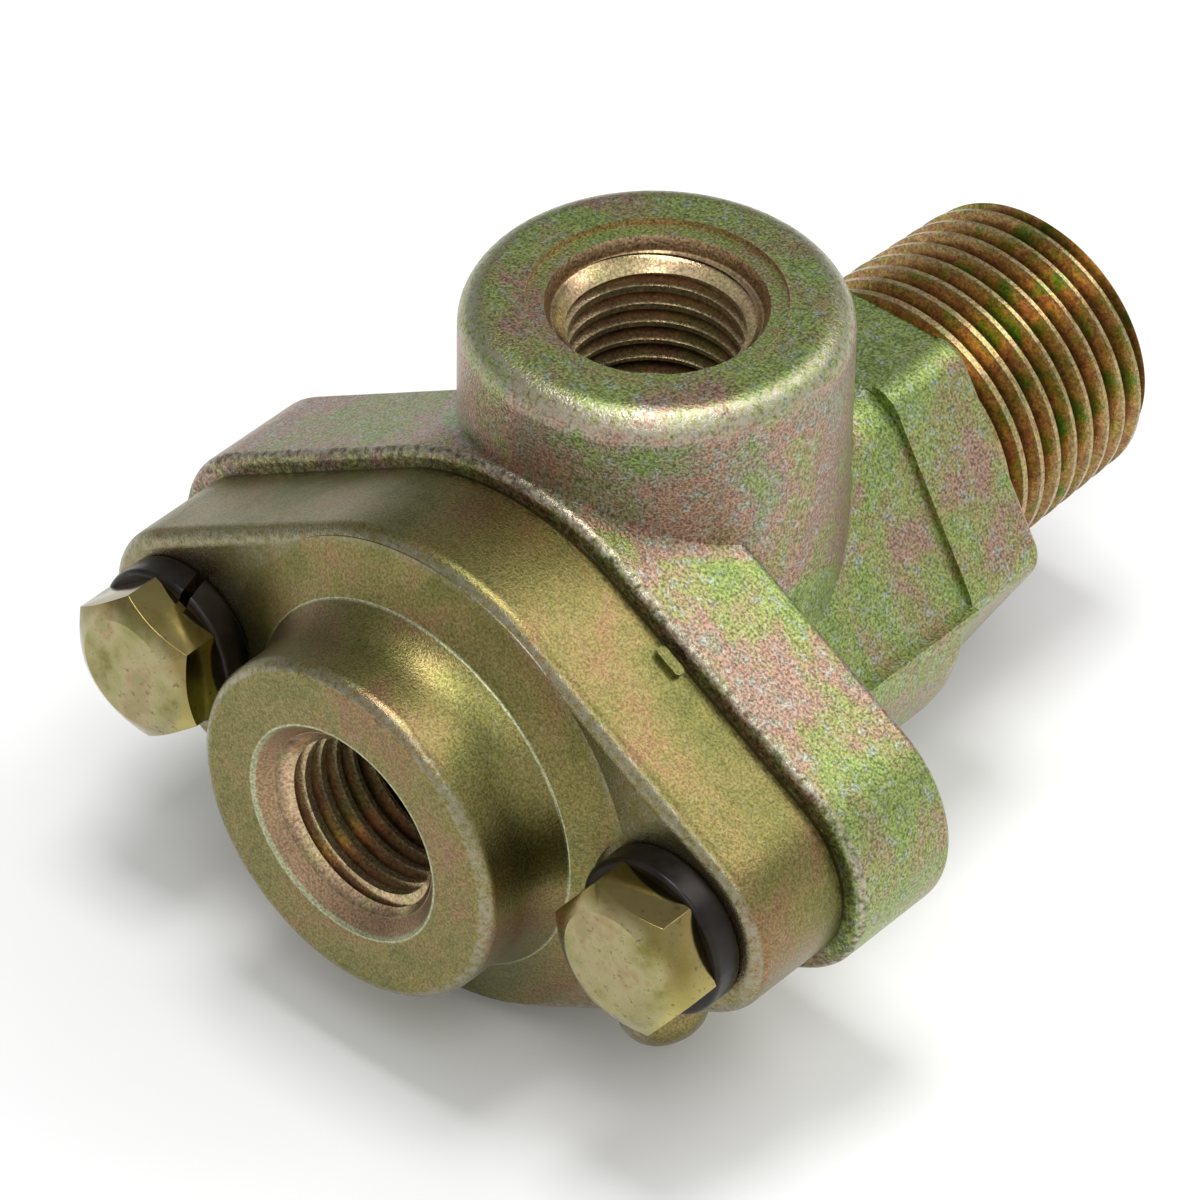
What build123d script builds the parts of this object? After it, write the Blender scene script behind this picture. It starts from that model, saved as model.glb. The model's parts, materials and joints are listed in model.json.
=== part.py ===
from build123d import *
import math
import os

# Non-return valve of the two-way kind used on truck air systems.
# Units are millimetres. The main axis is Y. The origin is the middle of the shoulder where
# the male thread starts, +Y points out of the male end and +Z out of the side port.

# Body casting
male_length = 18.9
male_blank_radius = 10.67
male_tip_radius = 10.36
male_taper_per_mm = 1 / 32
male_tip_chamfer = 0.9
male_bore_radius = 6.5
male_bore_chamfer = 0.7
hex_across_flats = 27.8
hex_width = 7.3
hex_corner_round = 2.4
hex_end_round = 0.6
pad_height = 0.45
panel_width = 12.8
panel_depth = 0.5
barrel_radius = 16.1
barrel_end_round = 1.8
barrel_side_round = 5.0
flange_thickness = 9.1
flange_radius = 19.2
flange_lobe_radius = 8.6
flange_rim_round = 0.7
parting_height = 0.15
parting_width = 0.5

# Side port on the body
side_from_joint = 13.65
side_boss_radius = 12.85
side_face_z = 26.1
side_rim_round = 2.1
side_root_round = 1.2
side_to_hexagon = 1.6
side_spot_radius = 8.5
side_spot_depth = 0.45

# Both female ports are 1/4-18 taper pipe, bored here to the root of the thread
port_bore_radius = 6.85
port_thread_depth = 11.5
port_drill_radius = 5.4
side_sink_radius = 7.3
side_sink_depth = 0.9
cap_sink_radius = 7.9
cap_sink_depth = 1.1

# End cap casting
cap_thickness = 8.3
cap_radius = 17.9
cap_lobe_radius = 7.2
cap_rim_round = 1.1
cap_boss_height = 8.1
cap_boss_radius = 12.45
cap_boss_rim_round = 1.0
cap_flare_length = 3.3
cap_line_radius = 13.5
cap_line_height = 1.35
cap_blend_radius = 17.3
spigot_height = 2.0
gate_radius = 3.1
gate_reach = 3.5
gate_along = 9.3
gate_from_joint = 5.0
tab_along = 5.6
tab_from_joint = 0.95
tab_length = 2.2
tab_width = 0.8
tab_height = 0.45

# Bolts and lock washers
bolt_half_spacing = 21.05
bolt_radius = 3.0
bolt_length = 20.0
bolt_tip_chamfer = 0.6
head_across_flats = 9.8
head_height = 3.6
head_face_radius = 3.95
washer_outer_radius = 5.7
washer_thickness = 2.3
washer_split = 0.7
washer_split_lean = 15
washer_edge_round = 0.35
washer_bore_play = 0.15
head_chamfer_angle = 30
bolt_hole_clearance = 0.35
washer_seat_play = 0.5
thread_clearance = 0.04

# Inside
chamber_depth = 21.0
guide_step = 1.0
tube_radius = 8.0
tube_bore_radius = 5.0
seat_press_radius = 6.2
seat_sleeve_length = 4.0
seat_head_radius = 7.4
seat_head_thickness = 1.2
seat_lip_radius = 5.5
seat_lip_height = 0.6
seat_lip_crest = 0.6
seat_lip_flank = 0.7
seat_bore_radius = 4.6
shuttle_travel = 2.8
shuttle_rest_gap = 0.1
shuttle_radius = 9.0
shuttle_core_thickness = 3.4
shuttle_seal_radius = 7.2
shuttle_seal_inset = 0.8
shuttle_seal_proud = 0.8
shuttle_edge_chamfer = 0.3
retainer_radius = 3.4
retainer_thickness = 0.5
retainer_chamfer = 0.15
rivet_radius = 1.25
rivet_head_radius = 2.3
rivet_head_height = 0.6
rivet_head_round = 0.4
guide_wall = 2.77
guide_ring_length = 2.6
guide_slots = 4
guide_slot_width = 8.5
guide_clearance = 0.08
guide_foot = 1.0
spigot_clearance = 0.15
seal_width = 2.0
seal_depth = 1.5
seal_groove_play = 0.25

# The chamber is bored to take the guide, with a step for its fingers to stop against
guide_bore_radius = shuttle_radius + guide_clearance
chamber_radius = guide_bore_radius + guide_wall + spigot_clearance
guide_step_radius = chamber_radius - guide_step
seal_groove_radius = chamber_radius + seal_width + seal_groove_play

# Places along the main axis that follow from the sizes above
barrel_length = side_from_joint + side_boss_radius + side_to_hexagon - flange_thickness
flange_rear_y = -(hex_width + barrel_length)
joint_y = flange_rear_y - flange_thickness
cap_front_y = joint_y - cap_thickness
cap_face_y = cap_front_y - cap_boss_height
side_y = joint_y + side_from_joint
spigot_y = joint_y + spigot_height
chamber_end_y = joint_y + chamber_depth
cap_crest_y = spigot_y + seat_head_thickness + seat_lip_height
shuttle_thickness = shuttle_core_thickness + 2 * shuttle_seal_proud
shuttle_y = cap_crest_y + shuttle_rest_gap + shuttle_thickness / 2
body_crest_y = cap_crest_y + shuttle_thickness + shuttle_travel + 2 * shuttle_rest_gap
tube_end_y = body_crest_y + seat_lip_height + seat_head_thickness
guide_end_y = tube_end_y + guide_foot
bolt_xs = (-bolt_half_spacing, bolt_half_spacing)


def across(y, x=0.0):
    """Plane square to the main axis at y, with local x along +X and local y along +Z."""
    return Plane(origin=(x, y, 0), x_dir=(1, 0, 0), z_dir=(0, -1, 0))


def rod(radius, y0, y1, x=0.0):
    """Round bar or hole along Y from y0 to y1."""
    return extrude(across(y1, x) * Circle(radius), amount=y1 - y0)


def cone(radius0, radius1, y0, y1):
    """Taper along Y, radius0 at y0 and radius1 at y1."""
    profile = Polyline((0, y0), (radius0, y0), (radius1, y1), (0, y1), close=True)
    return revolve(Plane.XY * make_face(profile), Axis.Y)


def upright(radius, z0, z1):
    """Round bar or hole along Z on the side port's axis."""
    return Location((0, side_y, z0)) * Cylinder(radius, z1 - z0, align=(Align.CENTER, Align.CENTER, Align.MIN))


def oval(centre_radius, lobe_radius):
    """Flange outline: a round middle with straight runs to a lobe round each bolt."""
    middle = Circle(centre_radius)
    lobes = [Location((x, 0)) * Circle(lobe_radius) for x in bolt_xs]
    edges = middle.edges() + lobes[0].edges() + lobes[1].edges()
    return make_hull(edges)


def flange_slab(centre_radius, lobe_radius, y0, y1):
    return extrude(across(y1) * oval(centre_radius, lobe_radius), amount=y1 - y0)


def rim_edges(solid, y):
    """The outer edge loop of a slab at the given y."""
    face = solid.faces().filter_by(Axis.Y).group_by(Axis.Y)
    wanted = min(face, key=lambda g: abs(g[0].center().Y - y))
    return wanted.sort_by(SortBy.AREA)[-1].outer_wire().edges()


def hex_section(across_flats, corner_round):
    """Hexagon with corners at +X and -X, and rounded corners."""
    corner = across_flats / math.sqrt(3)
    points = [(corner * math.cos(math.radians(60 * k)), corner * math.sin(math.radians(60 * k))) for k in range(6)]
    shape = make_face(Polyline(*points, close=True))
    return fillet(shape.vertices(), corner_round)


def neck_roof():
    """Upper half of the neck's section: flats that lie just under the wrench pads."""
    corner = (hex_across_flats - 2 * pad_height) / math.sqrt(3)
    half = corner / 2
    top = corner * math.sqrt(3) / 2
    roof = make_face(Polyline((corner, 0), (half, top), (-half, top), (-corner, 0), close=True))
    return fillet(roof.vertices().group_by(Axis.Y)[-1], barrel_side_round)


def make_neck():
    """Between flange and hexagon: flats above, a round barrel below, and the mould's parting line between them."""
    neck_end_y = joint_y + 0.5 * flange_thickness
    roof = extrude(across(-hex_width) * neck_roof(), amount=-hex_width - neck_end_y)
    barrel = rod(barrel_radius, neck_end_y, -hex_width)
    barrel = fillet(barrel.edges().filter_by(GeomType.CIRCLE).group_by(Axis.Y)[-1], barrel_end_round)
    neck = roof + split(barrel, Plane.XY, keep=Keep.BOTTOM)
    rib_depth = 2 * barrel_end_round
    for side in (-1, 1):
        rib_x = side * (barrel_radius + parting_height - rib_depth / 2)
        neck += Location((rib_x, flange_rear_y + barrel_length / 2, 0)) * Box(rib_depth, barrel_length, parting_width)
    return neck


def make_hexagon():
    hexagon = extrude(across(0) * hex_section(hex_across_flats, hex_corner_round), amount=hex_width)
    hexagon = fillet(rim_edges(hexagon, 0), hex_end_round)
    top = hex_across_flats / 2
    panel = Location((0, -hex_width / 2, top)) * Box(panel_width, hex_width + 2, 2 * panel_depth)
    return hexagon - panel


def make_male_end():
    """Pipe end at the size of its thread crests: straight stock at the shoulder, then the pipe taper."""
    taper_y = male_length - (male_blank_radius - male_tip_radius) / male_taper_per_mm
    end = rod(male_blank_radius, -1.0, taper_y) + cone(male_blank_radius, male_tip_radius, taper_y, male_length)
    tip = end.edges().filter_by(GeomType.CIRCLE).group_by(Axis.Y)[-1]
    return chamfer(tip, male_tip_chamfer)


def make_side_boss():
    boss = upright(side_boss_radius, 0, side_face_z)
    return fillet(boss.edges().group_by(Axis.Z)[-1], side_rim_round)


def make_shank():
    """Neck and side boss with the cast round where the boss meets the neck."""
    shank = make_neck() + make_side_boss()
    middle = Vector(0, side_y, 0)
    root = [e for e in shank.edges() if e.center().Z < side_face_z - 2 * side_rim_round and on_boss(e, middle)]
    return fillet(root, side_root_round)


def on_boss(edge, middle):
    """True for an edge that lies on the side boss's wall, above the parting line."""
    spots = [edge @ t for t in (0.1, 0.5, 0.9)]
    radii = [math.hypot(p.X - middle.X, p.Y - middle.Y) for p in spots]
    return spots[1].Z > 1 and max(abs(r - side_boss_radius) for r in radii) < 0.02


def port_cut_side():
    """Side port: spotface, countersink, thread bore and the drilled way into the chamber."""
    cut = upright(side_spot_radius, side_face_z - side_spot_depth, side_face_z + 1)
    sink_top = side_face_z - side_spot_depth
    sink = Location((0, side_y, sink_top - side_sink_depth)) * Cone(
        port_bore_radius, side_sink_radius, side_sink_depth, align=(Align.CENTER, Align.CENTER, Align.MIN)
    )
    bore = upright(port_bore_radius, sink_top - port_thread_depth, sink_top)
    drill = upright(port_drill_radius, guide_step_radius - 2, sink_top)
    return cut + sink + bore + drill


def make_body():
    flange = flange_slab(flange_radius, flange_lobe_radius, joint_y, flange_rear_y)
    flange = fillet(rim_edges(flange, joint_y) + rim_edges(flange, flange_rear_y), flange_rim_round)
    body = flange + make_shank() + make_hexagon() + make_male_end()
    chamber = rod(chamber_radius, joint_y - 1, guide_end_y) + rod(guide_step_radius, guide_end_y - 1, chamber_end_y)
    chamber -= rod(tube_radius, tube_end_y, chamber_end_y + 1)
    body -= chamber
    body -= rod(seal_groove_radius, joint_y - 1, joint_y + seal_depth)
    body -= rod(seat_press_radius, tube_end_y - 1, tube_end_y + seat_sleeve_length)
    body -= rod(tube_bore_radius, tube_end_y, -hex_width)
    body -= rod(male_bore_radius, -hex_width, male_length + 1)
    body -= cone(
        male_bore_radius, male_bore_radius + 2 * male_bore_chamfer,
        male_length - male_bore_chamfer, male_length + male_bore_chamfer,
    )
    body -= port_cut_side()
    for x in bolt_xs:
        body -= rod(bolt_radius + thread_clearance, joint_y - 1, flange_rear_y + 1, x)
    return body


def make_cap_boss():
    """Port boss with its flared root, turned about the main axis."""
    flare_y = cap_front_y - cap_line_height
    shank_y = flare_y - cap_flare_length
    swell = cap_line_radius - cap_boss_radius
    flare_radius = (cap_flare_length**2 + swell**2) / (2 * swell)
    flare_turn = math.degrees(math.asin(cap_flare_length / flare_radius))
    flare = JernArc((cap_boss_radius, shank_y), (0, 1), flare_radius, -flare_turn)
    profile = [
        Line((0, cap_front_y + 1), (cap_blend_radius, cap_front_y + 1)),
        Line((cap_blend_radius, cap_front_y + 1), (cap_blend_radius, cap_front_y)),
        ThreePointArc(
            (cap_blend_radius, cap_front_y),
            ((cap_blend_radius + cap_line_radius) / 2 - 0.2, cap_front_y - cap_line_height * 0.42),
            flare @ 1,
        ),
        flare,
        Line((cap_boss_radius, shank_y), (cap_boss_radius, cap_face_y)),
        Line((cap_boss_radius, cap_face_y), (0, cap_face_y)),
        Line((0, cap_face_y), (0, cap_front_y + 1)),
    ]
    boss = revolve(Plane.XY * make_face(Wire(profile)), Axis.Y)
    return fillet(boss.edges().filter_by(GeomType.CIRCLE).group_by(Axis.Y)[0], cap_boss_rim_round)


def run_plane(side, along, y):
    """Plane lying on a straight run of the cap's rim. side is +1 above and -1 below, z points outwards."""
    lean = math.acos((cap_radius - cap_lobe_radius) / bolt_half_spacing)
    out = Vector(math.cos(lean), 0, side * math.sin(lean))
    run = Vector(math.sin(lean), 0, -side * math.cos(lean))
    return Plane(origin=out * cap_radius + run * along + Vector(0, y, 0), x_dir=(0, 1, 0), z_dir=out)


def make_gate():
    """Stub left where the casting's gate was broken off, under the right-hand bolt."""
    plane = run_plane(-1, gate_along, joint_y - gate_from_joint)
    stub = extrude(plane * Circle(gate_radius), amount=gate_reach)
    stub = fillet(stub.edges().sort_by_distance(plane.origin)[-1], gate_radius * 0.8)
    return stub + extrude(plane * Circle(gate_radius), amount=-3)


def make_flash_tab():
    """Scrap of casting flash on the cap's rim, beside the joint."""
    plane = run_plane(1, tab_along, joint_y - tab_from_joint)
    tab = extrude(plane * RectangleRounded(tab_width, tab_length, tab_width * 0.4), amount=tab_height)
    return tab + extrude(plane * Rectangle(tab_width * 0.6, tab_length * 0.8), amount=-1)


def make_end_cap():
    cap = flange_slab(cap_radius, cap_lobe_radius, cap_front_y, joint_y)
    cap = fillet(rim_edges(cap, cap_front_y), cap_rim_round)
    cap += make_cap_boss()
    cap += rod(chamber_radius - spigot_clearance, joint_y - 1, spigot_y)
    cap += make_gate() + make_flash_tab()
    cap -= rod(port_bore_radius, cap_face_y, cap_face_y + port_thread_depth)
    cap -= cone(cap_sink_radius, port_bore_radius, cap_face_y, cap_face_y + cap_sink_depth)
    cap -= rod(tube_bore_radius, cap_face_y, spigot_y + 1)
    cap -= rod(seat_press_radius, spigot_y - seat_sleeve_length, spigot_y + 1)
    for x in bolt_xs:
        cap -= rod(bolt_radius + bolt_hole_clearance, cap_front_y - 1, joint_y + 1, x)
        cap -= rod(washer_outer_radius + washer_seat_play, cap_front_y - cap_line_height, cap_front_y, x)
    return cap


def make_seat(face_y, way):
    """Brass seat pressed in from face_y. way is +1 when its lip points to +Y, else -1."""
    head_end = face_y + way * seat_head_thickness
    sleeve = rod(seat_press_radius, min(face_y, face_y - way * seat_sleeve_length),
                 max(face_y, face_y - way * seat_sleeve_length))
    head = rod(seat_head_radius, min(face_y, head_end), max(face_y, head_end))
    crest = head_end + way * seat_lip_height
    lip = Polyline(
        (seat_bore_radius, head_end), (seat_lip_radius + seat_lip_crest / 2 + seat_lip_flank, head_end),
        (seat_lip_radius + seat_lip_crest / 2, crest), (seat_lip_radius - seat_lip_crest / 2, crest), close=True,
    )
    lip = revolve(Plane.XY * make_face(lip), Axis.Y)
    bore = rod(seat_bore_radius, face_y - 20, face_y + 20)
    return sleeve + head + lip - bore


def make_guide():
    """Cage that carries the shuttle: a ring with fingers that reach back to the body's step."""
    outer = rod(chamber_radius - spigot_clearance, spigot_y, guide_end_y)
    cage = outer - rod(guide_bore_radius, spigot_y - 1, guide_end_y + 1)
    slot_y0 = spigot_y + guide_ring_length
    for k in range(guide_slots):
        turn = 360 / guide_slots * k
        slot = Location((0, (slot_y0 + guide_end_y + 1) / 2, 0), (0, turn, 0)) * (
            Location((0, 0, chamber_radius)) * Box(guide_slot_width, guide_end_y + 1 - slot_y0, chamber_radius)
        )
        cage -= slot
    return cage


def make_shuttle_core():
    half = shuttle_core_thickness / 2
    core = rod(shuttle_radius, shuttle_y - half, shuttle_y + half)
    core = chamfer(core.edges().filter_by(GeomType.CIRCLE), shuttle_edge_chamfer)
    for way in (-1, 1):
        face = shuttle_y + way * half
        floor = face - way * shuttle_seal_inset
        core -= rod(shuttle_seal_radius, min(face + way, floor), max(face + way, floor))
    return core - rod(rivet_radius, shuttle_y - half, shuttle_y + half)


def make_shuttle_seal(way):
    floor = shuttle_y + way * (shuttle_core_thickness / 2 - shuttle_seal_inset)
    face = shuttle_y + way * shuttle_thickness / 2
    disc = rod(shuttle_seal_radius, min(floor, face), max(floor, face))
    return disc - rod(rivet_radius, floor - 5, floor + 5)


def make_retainer(way):
    face = shuttle_y + way * shuttle_thickness / 2
    end = face + way * retainer_thickness
    disc = rod(retainer_radius, min(face, end), max(face, end))
    disc = chamfer(disc.edges().group_by(Axis.Y)[-1 if way > 0 else 0], retainer_chamfer)
    return disc - rod(rivet_radius, face - 5, face + 5)


def make_rivet():
    reach = shuttle_thickness / 2 + retainer_thickness
    rivet = rod(rivet_radius, shuttle_y - reach, shuttle_y + reach)
    for way in (-1, 1):
        near = shuttle_y + way * reach
        far = near + way * rivet_head_height
        head = rod(rivet_head_radius, min(near, far), max(near, far))
        rivet += fillet(head.edges().filter_by(GeomType.CIRCLE).group_by(Axis.Y)[-1 if way > 0 else 0], rivet_head_round)
    return rivet


def make_cover_seal():
    """Moulded ring, shown squeezed to the depth of its groove."""
    inner = chamber_radius + seal_groove_play / 2
    section = Location((inner + seal_width / 2, joint_y + seal_depth / 2)) * RectangleRounded(
        seal_width, seal_depth, seal_depth * 0.45
    )
    return revolve(Plane.XY * section, Axis.Y)


def make_bolt(x, turn):
    """Hexagon screw with its head towards -Y, the head turned to the angle that it stopped at."""
    seat_y = cap_front_y - washer_thickness
    top_y = seat_y - head_height
    corner = head_across_flats / math.sqrt(3)
    points = [
        (corner * math.cos(math.radians(turn + 60 * k)), corner * math.sin(math.radians(turn + 60 * k)))
        for k in range(6)
    ]
    head = extrude(across(seat_y, x) * make_face(Polyline(*points, close=True)), amount=head_height)
    slope = math.tan(math.radians(head_chamfer_angle))
    rise = (corner + 1 - head_face_radius) * slope
    dome = Polyline(
        (0, top_y), (head_face_radius, top_y), (corner + 1, top_y + rise), (corner + 1, seat_y), (0, seat_y), close=True
    )
    dome = revolve(Plane.XY * make_face(dome), Axis.Y)
    head = head & (Location((x, 0, 0)) * dome)
    shank = rod(bolt_radius, seat_y, seat_y + bolt_length, x)
    shank = chamfer(shank.edges().filter_by(GeomType.CIRCLE).group_by(Axis.Y)[-1], bolt_tip_chamfer)
    return head + shank


def make_lock_washer(x, split_turn):
    washer = rod(washer_outer_radius, cap_front_y - washer_thickness, cap_front_y, x)
    washer = fillet(washer.edges().filter_by(GeomType.CIRCLE), washer_edge_round)
    washer -= rod(bolt_radius + washer_bore_play, cap_front_y - washer_thickness - 1, cap_front_y + 1, x)
    mid_y = cap_front_y - washer_thickness / 2
    cut = Location((x, mid_y, 0), (0, -split_turn, 0)) * (
        Location((washer_outer_radius / 2 + 1, 0, 0), (washer_split_lean, 0, 0))
        * Box(washer_outer_radius + 2, washer_thickness * 2, washer_split)
    )
    return washer - cut


pieces = {
    "body": make_body(),
    "end_cap": make_end_cap(),
    "cap_seat": make_seat(spigot_y, 1),
    "body_seat": make_seat(tube_end_y, -1),
    "shuttle_guide": make_guide(),
    "shuttle_core": make_shuttle_core(),
    "shuttle_seal_front": make_shuttle_seal(-1),
    "shuttle_seal_rear": make_shuttle_seal(1),
    "shuttle_retainer_front": make_retainer(-1),
    "shuttle_retainer_rear": make_retainer(1),
    "shuttle_rivet": make_rivet(),
    "cover_seal": make_cover_seal(),
    "cap_bolt_left": make_bolt(-bolt_half_spacing, -22.3),
    "cap_bolt_right": make_bolt(bolt_half_spacing, -6.2),
    "lock_washer_left": make_lock_washer(-bolt_half_spacing, 74),
    "lock_washer_right": make_lock_washer(bolt_half_spacing, 200),
}

os.makedirs("parts", exist_ok=True)
for name, piece in pieces.items():
    solids = piece.solids()
    solid = solids[0] if len(solids) == 1 else Compound(solids)
    solid.label = name
    export_step(solid, f"parts/{name}.step")
    print(name, len(solids), "solid", round(piece.volume, 1), "mm3", piece.is_valid)
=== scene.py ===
# %% [markdown]
# # A two-way non-return valve, dressed for the camera
#
# The valve is a zinc plated casting with a bolted end cap. The CAD frame already holds every solid, so this
# notebook only adds what a solid model leaves out: cut threads, the blasted and plated skin, worn edges,
# the studio and the camera. Everything is in metres, in the frame of the CAD model: +Y runs out of the male
# pipe end and +Z out of the side port. Patterns, and the places of marks on a surface, are in millimetres.

import json
import math

import bpy
from mathutils import Matrix, Vector


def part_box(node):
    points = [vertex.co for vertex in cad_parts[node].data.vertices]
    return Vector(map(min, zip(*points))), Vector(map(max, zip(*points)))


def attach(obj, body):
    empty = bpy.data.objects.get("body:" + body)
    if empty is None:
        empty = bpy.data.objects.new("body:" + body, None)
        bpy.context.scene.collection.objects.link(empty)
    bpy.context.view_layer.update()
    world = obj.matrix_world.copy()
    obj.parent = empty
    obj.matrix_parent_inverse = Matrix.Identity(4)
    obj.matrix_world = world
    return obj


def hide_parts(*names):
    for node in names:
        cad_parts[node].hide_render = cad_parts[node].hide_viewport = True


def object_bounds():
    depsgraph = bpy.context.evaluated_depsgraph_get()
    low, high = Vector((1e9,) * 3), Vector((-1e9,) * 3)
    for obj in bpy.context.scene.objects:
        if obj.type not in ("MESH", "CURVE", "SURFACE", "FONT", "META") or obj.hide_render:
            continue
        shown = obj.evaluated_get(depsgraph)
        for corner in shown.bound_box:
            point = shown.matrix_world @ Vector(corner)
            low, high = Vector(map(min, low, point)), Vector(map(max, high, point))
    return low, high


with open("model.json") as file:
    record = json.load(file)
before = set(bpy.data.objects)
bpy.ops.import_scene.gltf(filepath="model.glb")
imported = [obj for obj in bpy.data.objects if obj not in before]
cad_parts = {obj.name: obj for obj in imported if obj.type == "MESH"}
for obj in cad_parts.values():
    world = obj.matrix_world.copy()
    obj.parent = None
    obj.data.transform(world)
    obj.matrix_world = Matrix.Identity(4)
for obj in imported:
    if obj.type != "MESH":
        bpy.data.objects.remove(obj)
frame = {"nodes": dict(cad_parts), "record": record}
cad_low, cad_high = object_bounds()
bpy.ops.object.select_all(action="DESELECT")
mm = 0.001
print("CAD box in mm:", [round(c / mm, 1) for c in cad_low], [round(c / mm, 1) for c in cad_high])

# %% [markdown]
# ## Places taken from the frame
#
# Each new piece sits on a CAD face, and each worn or machined mark belongs to one. So their places are read
# from the frame instead of being typed in. The two tapped ports are mounts of the part, and a mount's point
# is the middle of its bore.

# %% Read the places
mounts = {mount["name"]: mount for mount in frame["record"]["mounts"]}
body_low, body_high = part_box("body")
male_length = body_high.y
side_y = mounts["side_port"]["pos_m"][1]

# the same frame in millimetres, for patterns
side_axis = (0, side_y / mm, 0)
boss_top = body_high.z / mm
joint = body_low.y / mm
cap_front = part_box("end_cap")[0].y / mm
screw_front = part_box("cap_bolt_right")[0].y / mm
print("male end", round(male_length / mm, 2), "boss top", round(boss_top, 2), "joint", round(joint, 2))

# %% [markdown]
# ## Camera
#
# The photograph was taken from the front right, looking 40 degrees down, with a long lens that hardly
# converges. A camera set by eye would stand a little wrong, so its azimuth, elevation, small roll and
# distance come from a fit of the valve's edges to the photograph. It looks at a point inside the valve.

# %% Place the camera
camera_azimuth = math.radians(40.677)
camera_elevation = math.radians(39.993)
camera_roll = math.radians(1.049)
camera_distance = 535 * mm
camera_lens = 236.13
look_at = Vector((-10.01, -15.21, -8.83)) * mm

turn = (
    Matrix.Rotation(camera_azimuth, 4, "Z")
    @ Matrix.Rotation(math.pi / 2 - camera_elevation, 4, "X")
    @ Matrix.Rotation(camera_roll, 4, "Z")
)
camera_data = bpy.data.cameras.new("camera")
camera_data.lens = camera_lens
camera_data.sensor_width = 36
camera_data.clip_start = 0.01
camera = bpy.data.objects.new("camera", camera_data)
bpy.context.scene.collection.objects.link(camera)
camera.matrix_world = Matrix.Translation(look_at) @ turn @ Matrix.Translation((0, 0, camera_distance))
bpy.context.scene.camera = camera
print("camera at", [round(c, 4) for c in camera.matrix_world.translation])

# %% [markdown]
# ## Node helpers
#
# Finishes and the room's light are node trees. Colours are written as the hex values that a screen shows,
# and Blender wants linear light, so one function converts them. One more function adds a shader node, sets
# it and links it, which keeps a tree as short as a recipe. The settings that many nodes share have names.

# %% Colour and node helpers
multiply = {"operation": "MULTIPLY"}
multiply_add = {"operation": "MULTIPLY_ADD"}
subtract = {"operation": "SUBTRACT"}
add_up = {"operation": "ADD"}
larger = {"operation": "MAXIMUM"}
scale = {"operation": "SCALE"}
dot = {"operation": "DOT_PRODUCT"}
distance = {"operation": "DISTANCE"}
smooth = {"interpolation_type": "SMOOTHSTEP"}


def colour(hex_code):
    """sRGB hex to a linear colour with alpha."""
    channels = [int(hex_code[i:i + 2], 16) / 255 for i in (1, 3, 5)]
    linear = [c / 12.92 if c <= 0.04045 else ((c + 0.055) / 1.055) ** 2.4 for c in channels]
    return (*linear, 1)


def add(tree, kind, settings=(), output=0, ramp=(), **inputs):
    """Adds one node and returns one of its outputs.

    a, b and c are the node's first inputs, and other names are the inputs' own. ramp is a list of colour
    stops, each a place and a hex colour.
    """
    node = tree.nodes.new("ShaderNode" + kind)
    for key, value in dict(settings).items():
        setattr(node, key, value)
    first_inputs = {"a": 0, "b": 1, "c": 2}
    for key, value in inputs.items():
        socket = node.inputs[first_inputs.get(key, key.replace("_", " "))]
        if isinstance(value, bpy.types.NodeSocket):
            tree.links.new(value, socket)
        else:
            socket.default_value = value
    for place, hex_code in ramp:
        node.color_ramp.elements.new(place).color = colour(hex_code)
    if ramp:
        node.color_ramp.elements.remove(node.color_ramp.elements[0])
        node.color_ramp.elements.remove(node.color_ramp.elements[-1])
    return node.outputs[output]


print("helpers ready")

# %% [markdown]
# ## Studio
#
# Bright metal shows its surroundings more than its own colour, so the studio is what shapes this picture.
# An evenly lit room would be simpler, but in it every face would shine alike. So there are three soft
# boxes: one behind and above the valve, mirrored by its upper slopes, one above the camera, mirrored by the
# rounded rims that face it, and a strong one overhead that keeps the floor bright. The room itself is
# bright at the right and dim at the back left. Flat top faces mirror that dim side, so they turn out darker
# than the slopes beside them.

# %% Light the valve
bpy.context.scene.view_settings.view_transform = "Standard"
soft_boxes = {
    "back_top": {"place": (0.26, 0.50, 0.66), "size": 0.36, "power": 1.5},
    "above_camera": {"place": (0.38, -0.42, 0.72), "size": 0.26, "power": 1.1},
    "overhead": {"place": (0.0, 0.0, 1.2), "size": 0.40, "power": 6.0},
}
for name, box in soft_boxes.items():
    light = bpy.data.lights.new(name, "AREA")
    light.size = box["size"]
    light.energy = box["power"]
    lamp = bpy.data.objects.new(name, light)
    lamp.location = box["place"]
    lamp.rotation_euler = (-lamp.location).to_track_quat("-Z", "Y").to_euler()
    bpy.context.scene.collection.objects.link(lamp)

bright_side = Vector((0.8, -0.35, 0.1)).normalized()
world = bpy.data.worlds.new("studio")
bpy.context.scene.world = world
world.use_nodes = True
room = world.node_tree
direction = add(room, "TexCoord", output="Generated")
side = add(room, "VectorMath", dot, output="Value", a=direction, b=bright_side)
glow = add(room, "MapRange", Value=side, From_Min=-0.7, From_Max=0.6, To_Min=0.32, To_Max=0.9)
room.links.new(glow, room.nodes["Background"].inputs["Strength"])
room.nodes["Background"].inputs["Color"].default_value = (0.97, 0.98, 1.0, 1)
print("soft boxes:", ", ".join(soft_boxes))

# %% [markdown]
# ## Starting and ending a finish
#
# Every finish begins with the position on the part, which all pieces share because each one's object sits
# at the origin, and ends with one surface shader. Two masks are needed again and again: a band between two
# values, and the distance from an axis. With them a mark can be put on a rim or a countersink without any
# texture picture.

# %% Material helpers
def start_material(name):
    """An empty material, its node tree, and the position on the part in millimetres."""
    material = bpy.data.materials.new(name)
    material.use_nodes = True
    tree = material.node_tree
    tree.nodes.clear()
    place = add(tree, "VectorMath", scale, a=add(tree, "TexCoord", output="Object"), Scale=1 / mm)
    return material, tree, place


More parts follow.
